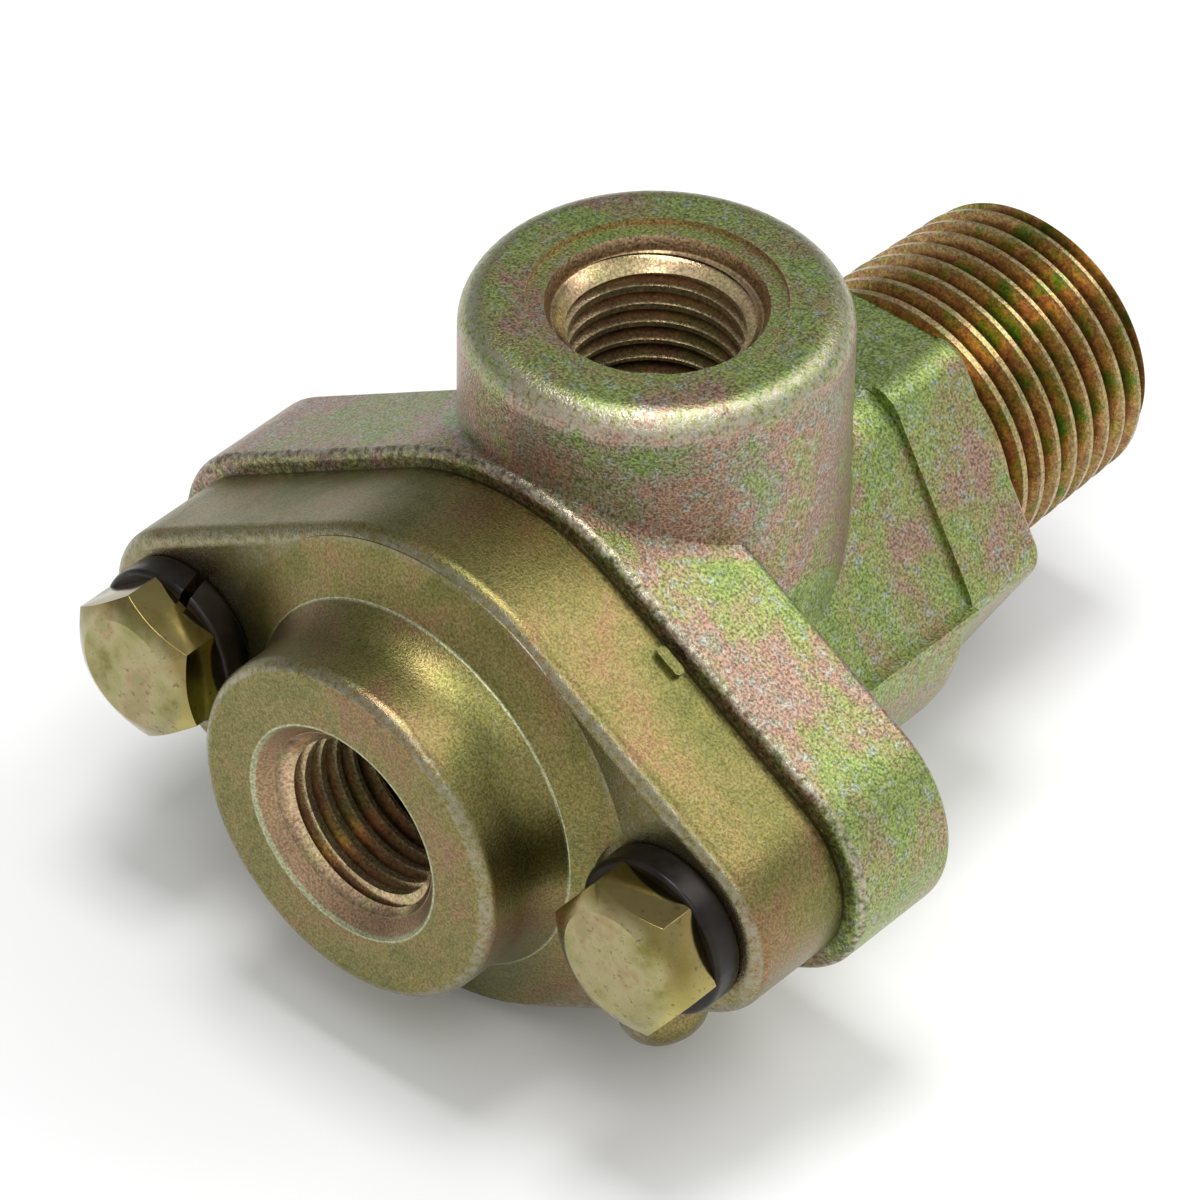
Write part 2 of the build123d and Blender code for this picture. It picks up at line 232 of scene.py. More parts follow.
def finish_material(material, tree, **inputs):
    """Ends a material with its surface shader."""
    surface = add(tree, "BsdfPrincipled", **inputs)
    end = tree.nodes.new("ShaderNodeOutputMaterial")
    tree.links.new(surface, end.inputs["Surface"])
    print("made", material.name, "with", len(tree.nodes), "nodes")
    return material


def band(tree, value, low, high, fade):
    """1 where value lies between low and high, with a fade outside both ends."""
    rise = add(tree, "MapRange", smooth, Value=value, From_Min=low - fade, From_Max=low)
    fall = add(tree, "MapRange", smooth, Value=value, From_Min=high + fade, From_Max=high)
    return add(tree, "Math", multiply, a=rise, b=fall)


def from_axis(tree, place, axis, centre=(0, 0, 0)):
    """Distance from a line along X, Y or Z through centre."""
    keep = [0 if letter == axis else 1 for letter in "XYZ"]
    flat = add(tree, "VectorMath", multiply, a=place, b=keep)
    middle = [k * c for k, c in zip(keep, centre)]
    return add(tree, "VectorMath", distance, output="Value", a=flat, b=middle)


print("material helpers ready")

# %% [markdown]
# ## Yellow zinc on blasted iron
#
# Both castings were shot blasted, zinc plated and dipped in yellow chromate. The blasting leaves a fine
# grit texture, and the chromate is a film so thin that it shows interference colours: straw, green and
# pink, in patches of a few millimetres. Where edges rub, the film is gone and silvery zinc shows. The joint
# is darkened by dirt and by painted shade. A painted picture could carry all this, but it would need a file
# and would stretch over rounds. Noise that is worked out from the position fits any shape, so a metal shader
# is coloured by layers of it, and each dent of the grit gets painted glints and painted shade.

# %% Plated casting
edge_break_size = 0.5


def plated_casting(name, film, patch, shift, spots, grit, dent, glint, roughness, edge_colour,
                   edges, machined, build_up=None):
    """The finish of a casting, with lengths in mm.

    patch and grit are the sizes of the film's patches and of the dents, dent is how deep these are, and
    glint is how much the painted glints and painted shade lighten or darken each dent. edges, machined and
    build_up are functions for masks.
    """
    material, tree, place = start_material(name)
    along = add(tree, "SeparateXYZ", output="Y", a=place)

    # the film's interference colours
    shifted = add(tree, "VectorMath", add_up, a=place, b=shift)
    patches = add(tree, "TexNoise", Vector=shifted, Scale=1 / patch,
                  Detail=6, Roughness=0.7, Distortion=0.4)
    if build_up:
        patches = add(tree, "Math", add_up, a=patches, b=build_up(tree, place))
    tint = add(tree, "ValToRGB", ramp=film, a=patches)

    # small spots where the film is thin, lighter and greyer than the rest
    thin = add(tree, "TexNoise", Vector=place, Scale=1 / spots["size"], Detail=3, Roughness=0.7)
    thin = add(tree, "MapRange", Value=thin, From_Min=0.54, From_Max=spots["full"], To_Max=spots["amount"])
    tint = add(tree, "MixRGB", Fac=thin, Color1=tint, Color2=colour(spots["colour"]))

    # dents: painted glints and painted shade, each dent's colour lightened or darkened as if it caught or
    # lost the light, following the same noise as the bump
    dents = add(tree, "TexNoise", Vector=place, Scale=1 / grit, Detail=3, Roughness=0.65)
    dent_glints_and_shade = add(tree, "MapRange", Value=dents, From_Min=0.36, From_Max=0.64,
                To_Min=1 - glint, To_Max=1 + glint)
    tint = add(tree, "VectorMath", scale, a=tint, Scale=dent_glints_and_shade)

    # rubbed edges: silvery, in broken stretches
    breaks = add(tree, "TexNoise", Vector=place, Scale=1 / edge_break_size, Detail=4, Roughness=0.7)
    breaks = add(tree, "MapRange", Value=breaks, From_Min=0.38, From_Max=0.6)
    rub = add(tree, "Math", multiply, a=edges(tree, place), b=breaks)
    tint = add(tree, "MixRGB", Fac=rub, Color1=tint, Color2=colour(edge_colour))

    # the joint: dirt and painted shade in it, and grime and painted shade beside it where the edge isn't
    # rubbed
    joint_dirt_and_shade = band(tree, along, joint - 0.3, joint - 0.06, fade=0.05)
    joint_dirt_and_shade = add(tree, "Math", multiply, a=joint_dirt_and_shade, b=0.8)
    unrubbed = add(tree, "MapRange", Value=breaks, To_Min=0.62, To_Max=0)
    grime_and_shade = band(tree, along, joint - 0.5, joint + 0.45, fade=0.3)
    grime_and_shade = add(tree, "Math", multiply, a=grime_and_shade, b=unrubbed)
    joint_dirt_and_shade = add(tree, "Math", larger, a=joint_dirt_and_shade, b=grime_and_shade)
    tint = add(tree, "MixRGB", Fac=joint_dirt_and_shade, Color1=tint, Color2=colour("#2a2316"))

    # machined places, where the plating took another colour
    cut, cut_colour = machined(tree, place)
    # the machined colour carries the same painted glints and painted shade
    cut_colour = add(tree, "VectorMath", scale, a=cut_colour, Scale=dent_glints_and_shade)
    tint = add(tree, "MixRGB", Fac=cut, Color1=tint, Color2=cut_colour)

    # thick film is a little smoother, and rubbed metal is smoother still
    rough = add(tree, "MapRange", Value=patches, From_Min=0.3, From_Max=0.7,
                To_Min=roughness + 0.05, To_Max=roughness - 0.05)
    polish = add(tree, "MapRange", Value=rub, To_Min=1, To_Max=0.72)
    rough = add(tree, "Math", multiply, a=rough, b=polish)
    bump = add(tree, "Bump", Strength=1.0, Distance=dent * mm, Height=dents)
    return finish_material(material, tree, Base_Color=tint, Metallic=0.96, Roughness=rough, Normal=bump)


print("casting finish ready")

# %% [markdown]
# ## Marks of the body
#
# On the body the film is thicker, and so pinker, round the side boss, and thinner and greener on the upper
# neck. The rim of the boss and the lip at the joint are rubbed. The side port's countersink was machined
# before plating and is a plain pinkish straw, like the fine ring that a spotface tool left on the boss.

# %% Masks for the body
boss_radius = 12.85
spot_ring_radius = 8.5
side_cone_radius = 7.25
cone_colour = colour("#ab9270")
boss_film = 0.14
neck_film = -0.06


def body_build_up(tree, place):
    """How far the film is shifted along its ramp at each place."""
    height = add(tree, "SeparateXYZ", output="Z", a=place)
    along = add(tree, "SeparateXYZ", output="Y", a=place)

    # the wall of the boss, from the neck up to its rim
    boss = band(tree, from_axis(tree, place, "Z", side_axis), 0, boss_radius + 0.55, fade=0.8)
    boss_side = band(tree, height, 10, boss_top - 2.4, fade=2)
    thick = add(tree, "Math", multiply, a=boss, b=boss_side)
    thick = add(tree, "Math", multiply, a=thick, b=boss_film)

    # the upper side of the neck and the hexagon
    neck = band(tree, along, joint + 12, 1, fade=3)
    upper = band(tree, height, 2, 40, fade=6)
    thin = add(tree, "Math", multiply, a=neck, b=upper)
    return add(tree, "Math", multiply_add, a=thin, b=neck_film, c=thick)


def body_edges(tree, place):
    """The rim of the side boss and the lip of the flange at the joint."""
    height = add(tree, "SeparateXYZ", output="Z", a=place)
    along = add(tree, "SeparateXYZ", output="Y", a=place)
    radius = from_axis(tree, place, "Z", side_axis)
    lip = band(tree, along, joint + 0.25, joint + 0.5, fade=0.25)
    rim = band(tree, radius, boss_radius - 1.25, boss_radius - 0.45, fade=0.7)
    top = band(tree, height, boss_top - 1.6, boss_top - 0.3, fade=0.5)
    rim = add(tree, "Math", multiply, a=rim, b=top)
    return add(tree, "Math", larger, a=lip, b=rim)


def body_machined(tree, place):
    """The countersink of the side port and the ring round it, and their colour."""
    height = add(tree, "SeparateXYZ", output="Z", a=place)
    radius = from_axis(tree, place, "Z", side_axis)
    ring = band(tree, radius, spot_ring_radius - 0.04, spot_ring_radius + 0.04, fade=0.05)
    cone = band(tree, radius, 0, side_cone_radius, fade=0.1)
    top = band(tree, height, boss_top - 1.6, boss_top + 1, fade=0.1)
    cut = add(tree, "Math", larger, a=ring, b=cone)
    cut = add(tree, "Math", multiply, a=cut, b=top)
    return cut, cone_colour[:3]


print("boss rim rubbed from", boss_radius - 1.25, "to", boss_radius - 0.45, "mm")

# %% Plate the body
# the real dents are about 0.1 mm across, and are drawn at nearly twice that, so that they show
body_zinc = plated_casting(
    "yellow_zinc_casting_body",
    film=[(0.32, "#7f9054"), (0.42, "#8c9a5a"), (0.50, "#938f60"),
          (0.58, "#a08070"), (0.65, "#908770"), (0.74, "#7d8f55")],
    patch=8.0, shift=(40, -12, 7),
    spots={"size": 0.8, "full": 0.64, "amount": 0.6, "colour": "#9aa39b"},
    grit=0.19, dent=0.05, glint=0.56, roughness=0.36,
    edge_colour="#b3ad97", edges=body_edges, machined=body_machined, build_up=body_build_up,
)

# %% [markdown]
# ## Marks of the end cap
#
# The cap was plated in another batch. Its film is thicker and more even, a darker olive gold, and its grit
# is finer. The front rims of its flange and its port boss are rubbed. The countersink of its port ends in a
# narrow burnished ring, and a fine bright line runs round the root of the boss, where a tool touched the
# flange.

# %% Masks for the end cap
cap_boss_radius = 12.45
cap_cone_radius = 8.0
cap_line_radius = 13.5
cap_flange_front = joint - 8.3


def cap_edges(tree, place):
    """The front rim of the cap's flange and the rim of its port boss."""
    along = add(tree, "SeparateXYZ", output="Y", a=place)
    radius = from_axis(tree, place, "Y")
    flange_rim = band(tree, along, cap_flange_front + 0.1, cap_flange_front + 0.4, fade=0.25)
    # only outside the flared root of the boss
    outside = band(tree, radius, 15.2, 40, fade=0.5)
    flange_rim = add(tree, "Math", multiply, a=flange_rim, b=outside)
    boss_rim = band(tree, radius, cap_boss_radius - 0.55, cap_boss_radius - 0.2, fade=0.25)
    front = band(tree, along, cap_front - 1, cap_front + 0.8, fade=0.2)
    boss_rim = add(tree, "Math", multiply, a=boss_rim, b=front)
    return add(tree, "Math", larger, a=flange_rim, b=boss_rim)


def cap_machined(tree, place):
    """The countersink of the cap port with its ring, the line round the boss's root, and their colours."""
    along = add(tree, "SeparateXYZ", output="Y", a=place)
    radius = from_axis(tree, place, "Y")
    front = band(tree, along, cap_front - 1, cap_front + 1.6, fade=0.1)
    cone = band(tree, radius, 0, cap_cone_radius, fade=0.1)
    cone = add(tree, "Math", multiply, a=cone, b=front)
    line = band(tree, radius, cap_line_radius - 0.04, cap_line_radius + 0.04, fade=0.06)
    root = band(tree, along, cap_flange_front - 1.6, cap_flange_front - 1.0, fade=0.1)
    line = add(tree, "Math", multiply, a=line, b=root)
    cut = add(tree, "Math", larger, a=cone, b=line)
    ring = band(tree, radius, cap_cone_radius - 0.25, cap_cone_radius, fade=0.1)
    bright = add(tree, "Math", larger, a=ring, b=line)
    cut_colour = add(tree, "MixRGB", Fac=bright, Color1=colour("#997f62"), Color2=colour("#a3a582"))
    return cut, cut_colour


print("cap flange ends at", round(cap_flange_front, 2), "mm")

# %% Plate the end cap
cap_zinc = plated_casting(
    "yellow_zinc_casting_cap",
    film=[(0.30, "#5d6036"), (0.42, "#726f3f"), (0.52, "#807447"),
          (0.61, "#876c4d"), (0.68, "#7c7147"), (0.76, "#656d3f")],
    patch=11.0, shift=(0, 0, 0),
    spots={"size": 0.6, "full": 0.72, "amount": 0.3, "colour": "#8f896b"},
    grit=0.17, dent=0.032, glint=0.38, roughness=0.31,
    edge_colour="#938e78", edges=cap_edges, machined=cap_machined,
)

# %% [markdown]
# ## Cut threads
#
# The threads were cut before plating, so they carry the same film on a smoother surface. It is brown and
# green in the grooves of the male end, where the bath lingered, and a light straw in the ports. Painted
# shade darkens each groove towards its bottom, and the crests are worn pale. Blender could guess the
# crests by the mesh's curvature, but the distance from the thread's axis finds them exactly. On a taper
# thread that distance changes along the axis. The grit adds painted glints and painted shade, as on the
# castings.

# %% Thread finish
fully_worn = 0.08
thread_grit = 0.2


def plated_thread(name, axis, centre, crest_radius, crest_slope, outward, film, worn, mouth=None):
    """The finish of a thread, with lengths in mm.

    crest_radius is at centre, and grows by crest_slope for each mm along the axis. worn is how deep below
    the crest the wear ends, and mouth is where the countersink lies along the axis.
    """
    material, tree, place = start_material(name)
    along = add(tree, "SeparateXYZ", output=axis, a=place)
    offset = add(tree, "Math", subtract, a=along, b=centre["XYZ".index(axis)])
    crest_here = add(tree, "Math", multiply_add, a=offset, b=crest_slope, c=crest_radius)
    depth = add(tree, "Math", subtract, a=crest_here, b=from_axis(tree, place, axis, centre))
    if not outward:
        depth = add(tree, "Math", multiply, a=depth, b=-1.0)

    # the film, in streaks that are longer along the axis
    stretch = [0.16 if letter == axis else 0.30 for letter in "XYZ"]
    streaks = add(tree, "VectorMath", multiply, a=place, b=stretch)
    streaks = add(tree, "TexNoise", Vector=streaks, Scale=1.0, Detail=4, Roughness=0.6)
    tint = add(tree, "ValToRGB", ramp=film, a=streaks)

    # worn crests, in broken stretches, and painted shade darkening the groove bottoms
    crest = add(tree, "MapRange", smooth, Value=depth, From_Min=worn, From_Max=fully_worn)
    wear = add(tree, "TexNoise", Vector=place, Scale=1 / edge_break_size, Detail=3, Roughness=0.7)
    wear = add(tree, "MapRange", Value=wear, From_Min=0.36, From_Max=0.6, To_Min=0.1, To_Max=0.85)
    crest = add(tree, "Math", multiply, a=crest, b=wear)
    tint = add(tree, "MixRGB", Fac=crest, Color1=tint, Color2=colour("#ab9e76"))
    groove_bottom_shade = add(tree, "MapRange", smooth, Value=depth, From_Min=0.45, From_Max=1.0, To_Max=0.6)
    tint = add(tree, "MixRGB", Fac=groove_bottom_shade, Color1=tint, Color2=colour("#3a2d17"))
    if mouth:
        cone = band(tree, along, *mouth, fade=0.08)
        tint = add(tree, "MixRGB", Fac=cone, Color1=tint, Color2=cone_colour)

    # fine grit, as on the castings, with painted glints and painted shade, and drawn coarser in the same way
    grit = add(tree, "TexNoise", Vector=place, Scale=1 / thread_grit, Detail=3, Roughness=0.65)
    dent_glints_and_shade = add(tree, "MapRange", Value=grit, From_Min=0.34, From_Max=0.66, To_Min=0.5, To_Max=1.4)
    tint = add(tree, "VectorMath", scale, a=tint, Scale=dent_glints_and_shade)
    rough = add(tree, "MapRange", Value=crest, To_Min=0.20, To_Max=0.34)
    bump = add(tree, "Bump", Strength=0.5, Distance=0.03 * mm, Height=grit)
    return finish_material(material, tree, Base_Color=tint, Metallic=0.85, Roughness=rough, Normal=bump)


print("thread finish ready")

# %% Plate the threads
pipe_taper = 1 / 32
male_film = [(0.34, "#648331"), (0.42, "#96803e"), (0.48, "#b8925a"),
             (0.54, "#9a6e4b"), (0.60, "#ab914d"), (0.68, "#75903b")]
port_film = [(0.34, "#bcb57c"), (0.45, "#cbb586"), (0.55, "#cfaf8c"), (0.66, "#c0a27c")]

# the male end is part straight and part taper, so one mean slope through its middle stands for both
male_crest = 10.67
male_middle = (0, 9.0, 0)
male_mean_slope = -1 / 45
male_thread_zinc = plated_thread(
    "yellow_zinc_male_thread", "Y", male_middle, male_crest, male_mean_slope,
    outward=True, film=male_film, worn=0.34,
)

# both ports narrow inwards from the crest radius that they have at the mouth
port_mouth_crest = 5.80
side_thread_zinc = plated_thread(
    "yellow_zinc_side_thread", "Z", (0, side_y / mm, boss_top), port_mouth_crest, pipe_taper,
    outward=False, film=port_film, worn=0.75, mouth=(boss_top - 1.4, boss_top),
)
cap_thread_zinc = plated_thread(
    "yellow_zinc_cap_thread", "Y", (0, cap_front, 0), port_mouth_crest, -pipe_taper,
    outward=False, film=port_film, worn=0.75, mouth=(cap_front, cap_front + 0.95),
)

# %% [markdown]
# ## Screws and lock washers
#
# The screws are rolled and headed steel, so their zinc is smooth and bright, with faint stains of the
# yellow film and a few nicks. The forged face is duller than the six flats, and one colour for both would
# let them run into each other, so the flats get their own tint and gloss by their distance behind the face.
# Their tint is painted light: a painted highlight keeps the lower flats bright yellow, and painted shade
# makes the upper ones brown.
# The lock washers are spring steel with a black oxide, slightly oily.

# %% Screw and washer finishes
def bright_zinc(name):
    """Smooth zinc plate on a forged and rolled screw."""
    material, tree, place = start_material(name)
    along = add(tree, "SeparateXYZ", output="Y", a=place)
    height = add(tree, "SeparateXYZ", output="Z", a=place)
    stains = add(tree, "TexNoise", Vector=place, Scale=1 / 3.6, Detail=5, Roughness=0.62)
    film = [(0.32, "#767038"), (0.42, "#979060"), (0.52, "#a59b72"), (0.60, "#9c8a64"), (0.70, "#8a915a")]
    tint = add(tree, "ValToRGB", ramp=film, a=stains)

    # the flats are yellower than the forged face, with a painted highlight on their lower side and painted
    # shade, brown, on their upper side
    flats = add(tree, "MapRange", smooth, Value=along,
                From_Min=screw_front + 0.1, From_Max=screw_front + 0.6)
    # upper goes from the flats' painted highlight below to their painted shade above
    upper = add(tree, "MapRange", Value=height, From_Min=-2, From_Max=1.5)
    flat_highlight_and_shade = add(tree, "MixRGB", Fac=upper, Color1=colour("#bcb068"), Color2=colour("#7a6a3a"))
    flat_share = add(tree, "Math", multiply, a=flats, b=0.75)
    tint = add(tree, "MixRGB", Fac=flat_share, Color1=tint, Color2=flat_highlight_and_shade)

    # nicks of half a millimetre and less
    nicks = add(tree, "TexNoise", Vector=place, Scale=1 / 0.45, Detail=5, Roughness=0.75)
    dark = add(tree, "MapRange", Value=nicks, From_Min=0.58, From_Max=0.66, To_Max=0.8)
    tint = add(tree, "MixRGB", Fac=dark, Color1=tint, Color2=colour("#5d5638"))
    rough = add(tree, "MapRange", Value=stains, From_Min=0.3, From_Max=0.7, To_Min=0.22, To_Max=0.34)
    polish = add(tree, "MapRange", Value=flats, To_Min=1, To_Max=0.55)
    rough = add(tree, "Math", multiply, a=rough, b=polish)
    bump = add(tree, "Bump", Strength=0.3, Distance=0.015 * mm, Height=nicks)
    return finish_material(material, tree, Base_Color=tint, Metallic=1.0, Roughness=rough, Normal=bump)


def black_oxide(name):
    """Blackened spring steel: nearly black, with a brown haze and a low, oily gloss."""
    material, tree, place = start_material(name)
    haze = add(tree, "TexNoise", Vector=place, Scale=1 / 1.5, Detail=4)
    tint = add(tree, "ValToRGB", ramp=[(0.35, "#171311"), (0.7, "#29221c")], a=haze)
    rough = add(tree, "MapRange", Value=haze, From_Min=0.3, From_Max=0.7, To_Min=0.28, To_Max=0.42)
    bump = add(tree, "Bump", Strength=0.2, Distance=0.01 * mm, Height=haze)
    return finish_material(material, tree, Base_Color=tint, Metallic=0.6, Roughness=rough, Normal=bump)


screw_zinc = bright_zinc("bright_zinc_screw")
washer_black = black_oxide("black_oxide_washer")

# %% [markdown]
# ## Inner pieces
#
# Through the ports one sees a little of what is inside: turned brass seats and shuttle, moulded rubber
# seals and an acetal guide. Their finishes are simple, because they lie in the dark, but none is a single
# flat colour.

# %% Brass, rubber and acetal finishes
def turned_brass(name):
    """Turned brass: gold and slightly tarnished, with fine rings, drawn coarser so that they show."""
    material, tree, place = start_material(name)
    ring_spacing = 0.4
    # a Wave Texture of scale 1 runs through 20 radians in one unit
    ring_scale = 2 * math.pi / (20 * ring_spacing)
    rings = add(tree, "TexWave", {"wave_type": "RINGS", "rings_direction": "Y"}, output="Fac",
                Vector=place, Scale=ring_scale, Distortion=1)
    tarnish = add(tree, "TexNoise", Vector=place, Scale=1 / 2.5, Detail=3)
    tint = add(tree, "ValToRGB", ramp=[(0.3, "#b8924a"), (0.7, "#d8b56a")], a=tarnish)
    bump = add(tree, "Bump", Strength=0.3, Distance=0.01 * mm, Height=rings)
    return finish_material(material, tree, Base_Color=tint, Metallic=1.0, Roughness=0.28, Normal=bump)


def moulded_rubber(name):
    """Moulded nitrile rubber: black and dull, with a grey bloom."""
    material, tree, place = start_material(name)
    bloom = add(tree, "TexNoise", Vector=place, Scale=1 / 1.2, Detail=4)
    tint = add(tree, "ValToRGB", ramp=[(0.35, "#1d1d1e"), (0.7, "#2e2e2f")], a=bloom)
    bump = add(tree, "Bump", Strength=0.2, Distance=0.01 * mm, Height=bloom)
    return finish_material(material, tree, Base_Color=tint, Roughness=0.62, Normal=bump)


def moulded_acetal(name):
    """Moulded acetal: off-white and satin, with faint flow marks."""
    material, tree, place = start_material(name)
    flow = add(tree, "TexNoise", Vector=place, Scale=1 / 4.0, Detail=2)
    tint = add(tree, "ValToRGB", ramp=[(0.3, "#ddd8c8"), (0.7, "#ebe7da")], a=flow)
    return finish_material(material, tree, Base_Color=tint, Roughness=0.4, IOR=1.48)


brass = turned_brass("turned_brass")
rubber = moulded_rubber("nitrile_rubber")
acetal = moulded_acetal("white_acetal")

# %% [markdown]
# ## Painting the solids
#
# The nodes could be painted one by one. But each names its material slot in the record, so one table of
# slots paints them all and misses none. Their shapes stay as they are.

# %% Paint the CAD nodes
finishes = {
    "zinc_body": body_zinc,
    "zinc_cap": cap_zinc,
    "zinc_bolt": screw_zinc,
    "black_steel": washer_black,
    "brass": brass,
    "rubber": rubber,
    "guide_plastic": acetal,
}


def dress(piece, material):
    """Gives a piece one finish."""
    piece.data.materials.clear()
    piece.data.materials.append(material)


for part in frame["record"]["subparts"]:
    dress(frame["nodes"][part["node"]], finishes[part["material_slot"]])
print("painted", len(frame["nodes"]), "nodes")

# %% [markdown]
# ## Body with its male end cut away
#
# The solid's male end is plain, at the size of the thread crests, so the thread's grooves have to go below
# it. They could be cut into the casting itself, but a Boolean on one small turned piece is quicker and
# safer. So the body is copied, its loose triangles are merged, and the copy is cut off just outside the
# hexagon's shoulder. The threaded end is made next as a turned piece. Merging loses the solid's own
# shading, and a Weighted Normal modifier brings it back: wide faces stay flat, and the light turns only
# over the narrow rounds between them.

# %% Copy and cut the body
weld = 0.002 * mm
shoulder_cut = 0.05 * mm
smooth_limit = math.radians(30)


def select_only(piece):
    """Selects one piece for the next operators."""
    bpy.ops.object.select_all(action="DESELECT")
    piece.select_set(True)
    bpy.context.view_layer.objects.active = piece


def merged_copy(node, name):
    """A copy of a CAD node with its loose triangles merged, left in edit mode with all of it selected."""
    piece = bpy.data.objects.new(name, frame["nodes"][node].data.copy())
    bpy.context.scene.collection.objects.link(piece)
    select_only(piece)
    bpy.ops.mesh.customdata_custom_splitnormals_clear()
    bpy.ops.object.mode_set(mode="EDIT")
    bpy.ops.mesh.select_all(action="SELECT")
    bpy.ops.mesh.remove_doubles(threshold=weld)
    return piece


casting = merged_copy("body", "body_casting")
bpy.ops.mesh.bisect(plane_co=(0, shoulder_cut, 0), plane_no=(0, 1, 0), use_fill=True, clear_outer=True)
bpy.ops.object.mode_set(mode="OBJECT")
bpy.ops.object.shade_smooth_by_angle(angle=smooth_limit)
shading = casting.modifiers.new("shading", "WEIGHTED_NORMAL")
shading.mode = "FACE_AREA"
shading.weight = 100
shading.keep_sharp = True
bpy.ops.object.modifier_apply(modifier=shading.name)
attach(casting, "housing")
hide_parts("body")
print("body casting:", len(casting.data.polygons), "faces")

# %% [markdown]
# ## Screw heads with worn edges
#
# A forged head has no sharp edges, and a thin line of light runs along each of them. A Bevel node could fake
# that line in the shading, but the export would lose it. So a Bevel modifier rounds the edges of a merged
# copy of the screw. Flat faces are first made whole again, so that only real edges are rounded.

# %% Round the edges of the screws
flat_limit = math.radians(1)
edge_limit = math.radians(20)
edge_round = 0.34 * mm

for side in ("left", "right"):
    screw = merged_copy("cap_bolt_" + side, "screw_" + side)
    bpy.ops.mesh.dissolve_limited(angle_limit=flat_limit)
    bpy.ops.object.mode_set(mode="OBJECT")
    soften = screw.modifiers.new("soften", "BEVEL")
    soften.width = edge_round
    soften.segments = 4
    soften.limit_method = "ANGLE"
    soften.angle_limit = edge_limit
    bpy.ops.object.modifier_apply(modifier=soften.name)
    bpy.ops.object.shade_smooth_by_angle(angle=smooth_limit)
    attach(screw, "housing")
    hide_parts("cap_bolt_" + side)
    print(screw.name, len(screw.data.polygons), "faces")

# %% [markdown]
# ## Turning and threading
#
# A thread can be faked with a bump, but then its outline stays straight, and here the teeth show against
# the floor. So it is cut. A turned blank is a circle that is extruded and resized ring by ring, as a lathe
# profile. Its thread is cut the way a die or tap cuts it: the tool's tooth is a plane with one narrow edge,
# a Screw modifier winds it into a helix, a Simple Deform gives it the pipe taper, and a Boolean takes it
# out of the blank.

# %% Turn a blank
def turned_ring(name, rings, segments):
    """A closed ring turned about Z. rings are (radius, height) in metres, outside first."""
    radius, height = rings[0]
    bpy.ops.object.select_all(action="DESELECT")
    bpy.ops.mesh.primitive_circle_add(vertices=segments, radius=radius, location=(0, 0, 0))
    piece = bpy.context.object
    piece.name = name
    bpy.ops.object.mode_set(mode="EDIT")
    bpy.ops.mesh.select_all(action="SELECT")
    bpy.ops.transform.translate(value=(0, 0, height))
    for next_radius, next_height in rings[1:] + rings[:1]:
        bpy.ops.mesh.extrude_edges_move(TRANSFORM_OT_translate={"value": (0, 0, next_height - height)})
        grow = next_radius / radius
        bpy.ops.transform.resize(value=(grow, grow, 1), center_override=(0, 0, next_height))
        radius, height = next_radius, next_height
    bpy.ops.mesh.select_all(action="SELECT")
    bpy.ops.mesh.remove_doubles(threshold=0.001 * mm)
    bpy.ops.mesh.normals_make_consistent(inside=False)
    bpy.ops.object.mode_set(mode="OBJECT")
    return piece


print("lathe ready")

# %% Wind a cutter and cut with it
tooth_tip_share = 0.06
steps_in_a_turn = 72
thread_smooth_limit = math.radians(32)


def thread_cutter(pitch, root_radius, mouth_radius, mouth_width, low, high, start_angle=0):
    """A helix about Z that cuts one groove, and narrows towards +Z by the pipe taper.

    The groove is nearly sharp at root_radius and mouth_width wide at mouth_radius.
    """
    bpy.ops.object.select_all(action="DESELECT")
    middle = (root_radius + mouth_radius) / 2
    bpy.ops.mesh.primitive_plane_add(size=1, location=(middle, 0, low), rotation=(math.pi / 2, 0, 0))
    cutter = bpy.context.object
    cutter.scale = (abs(mouth_radius - root_radius), mouth_width, 1)
    bpy.ops.object.transform_apply(location=True, rotation=True, scale=True)
    for corner in cutter.data.vertices:
        if abs(corner.co.x - root_radius) < 0.01 * mm:
            corner.co.z = low + (corner.co.z - low) * tooth_tip_share
    bpy.ops.object.mode_set(mode="EDIT")
    bpy.ops.mesh.select_all(action="SELECT")
    bpy.ops.mesh.delete(type="ONLY_FACE")
    bpy.ops.object.mode_set(mode="OBJECT")

    wind = cutter.modifiers.new("wind", "SCREW")
    wind.axis = "Z"
    wind.screw_offset = pitch
    wind.iterations = math.ceil((high - low) / pitch)
    wind.steps = wind.render_steps = steps_in_a_turn
    bpy.ops.object.modifier_apply(modifier="wind")
    lowest, highest = (pick(v.co.z for v in cutter.data.vertices) for pick in (min, max))
    taper = cutter.modifiers.new("taper", "SIMPLE_DEFORM")
    taper.deform_method = "TAPER"
    taper.deform_axis = "Z"
    taper.factor = -(highest - lowest) * pipe_taper / root_radius
    bpy.ops.object.modifier_apply(modifier="taper")

    cutter.rotation_euler = (0, 0, start_angle)
    bpy.ops.object.transform_apply(location=False, rotation=True, scale=False)
    bpy.ops.object.mode_set(mode="EDIT")
    bpy.ops.mesh.select_all(action="SELECT")
    bpy.ops.mesh.fill_holes(sides=8)
    bpy.ops.mesh.normals_make_consistent(inside=False)
    bpy.ops.object.mode_set(mode="OBJECT")
    return cutter


def cut_with(blank, cutter):
    """Takes the cutter's shape out of the blank and throws the cutter away."""
    select_only(blank)
    cut = blank.modifiers.new("cut", "BOOLEAN")
    cut.operation = "DIFFERENCE"
    cut.solver = "EXACT"
    cut.object = cutter
    bpy.ops.object.modifier_apply(modifier="cut")
    bpy.data.objects.remove(cutter)
    print(blank.name, "threaded:", len(blank.data.polygons), "faces")


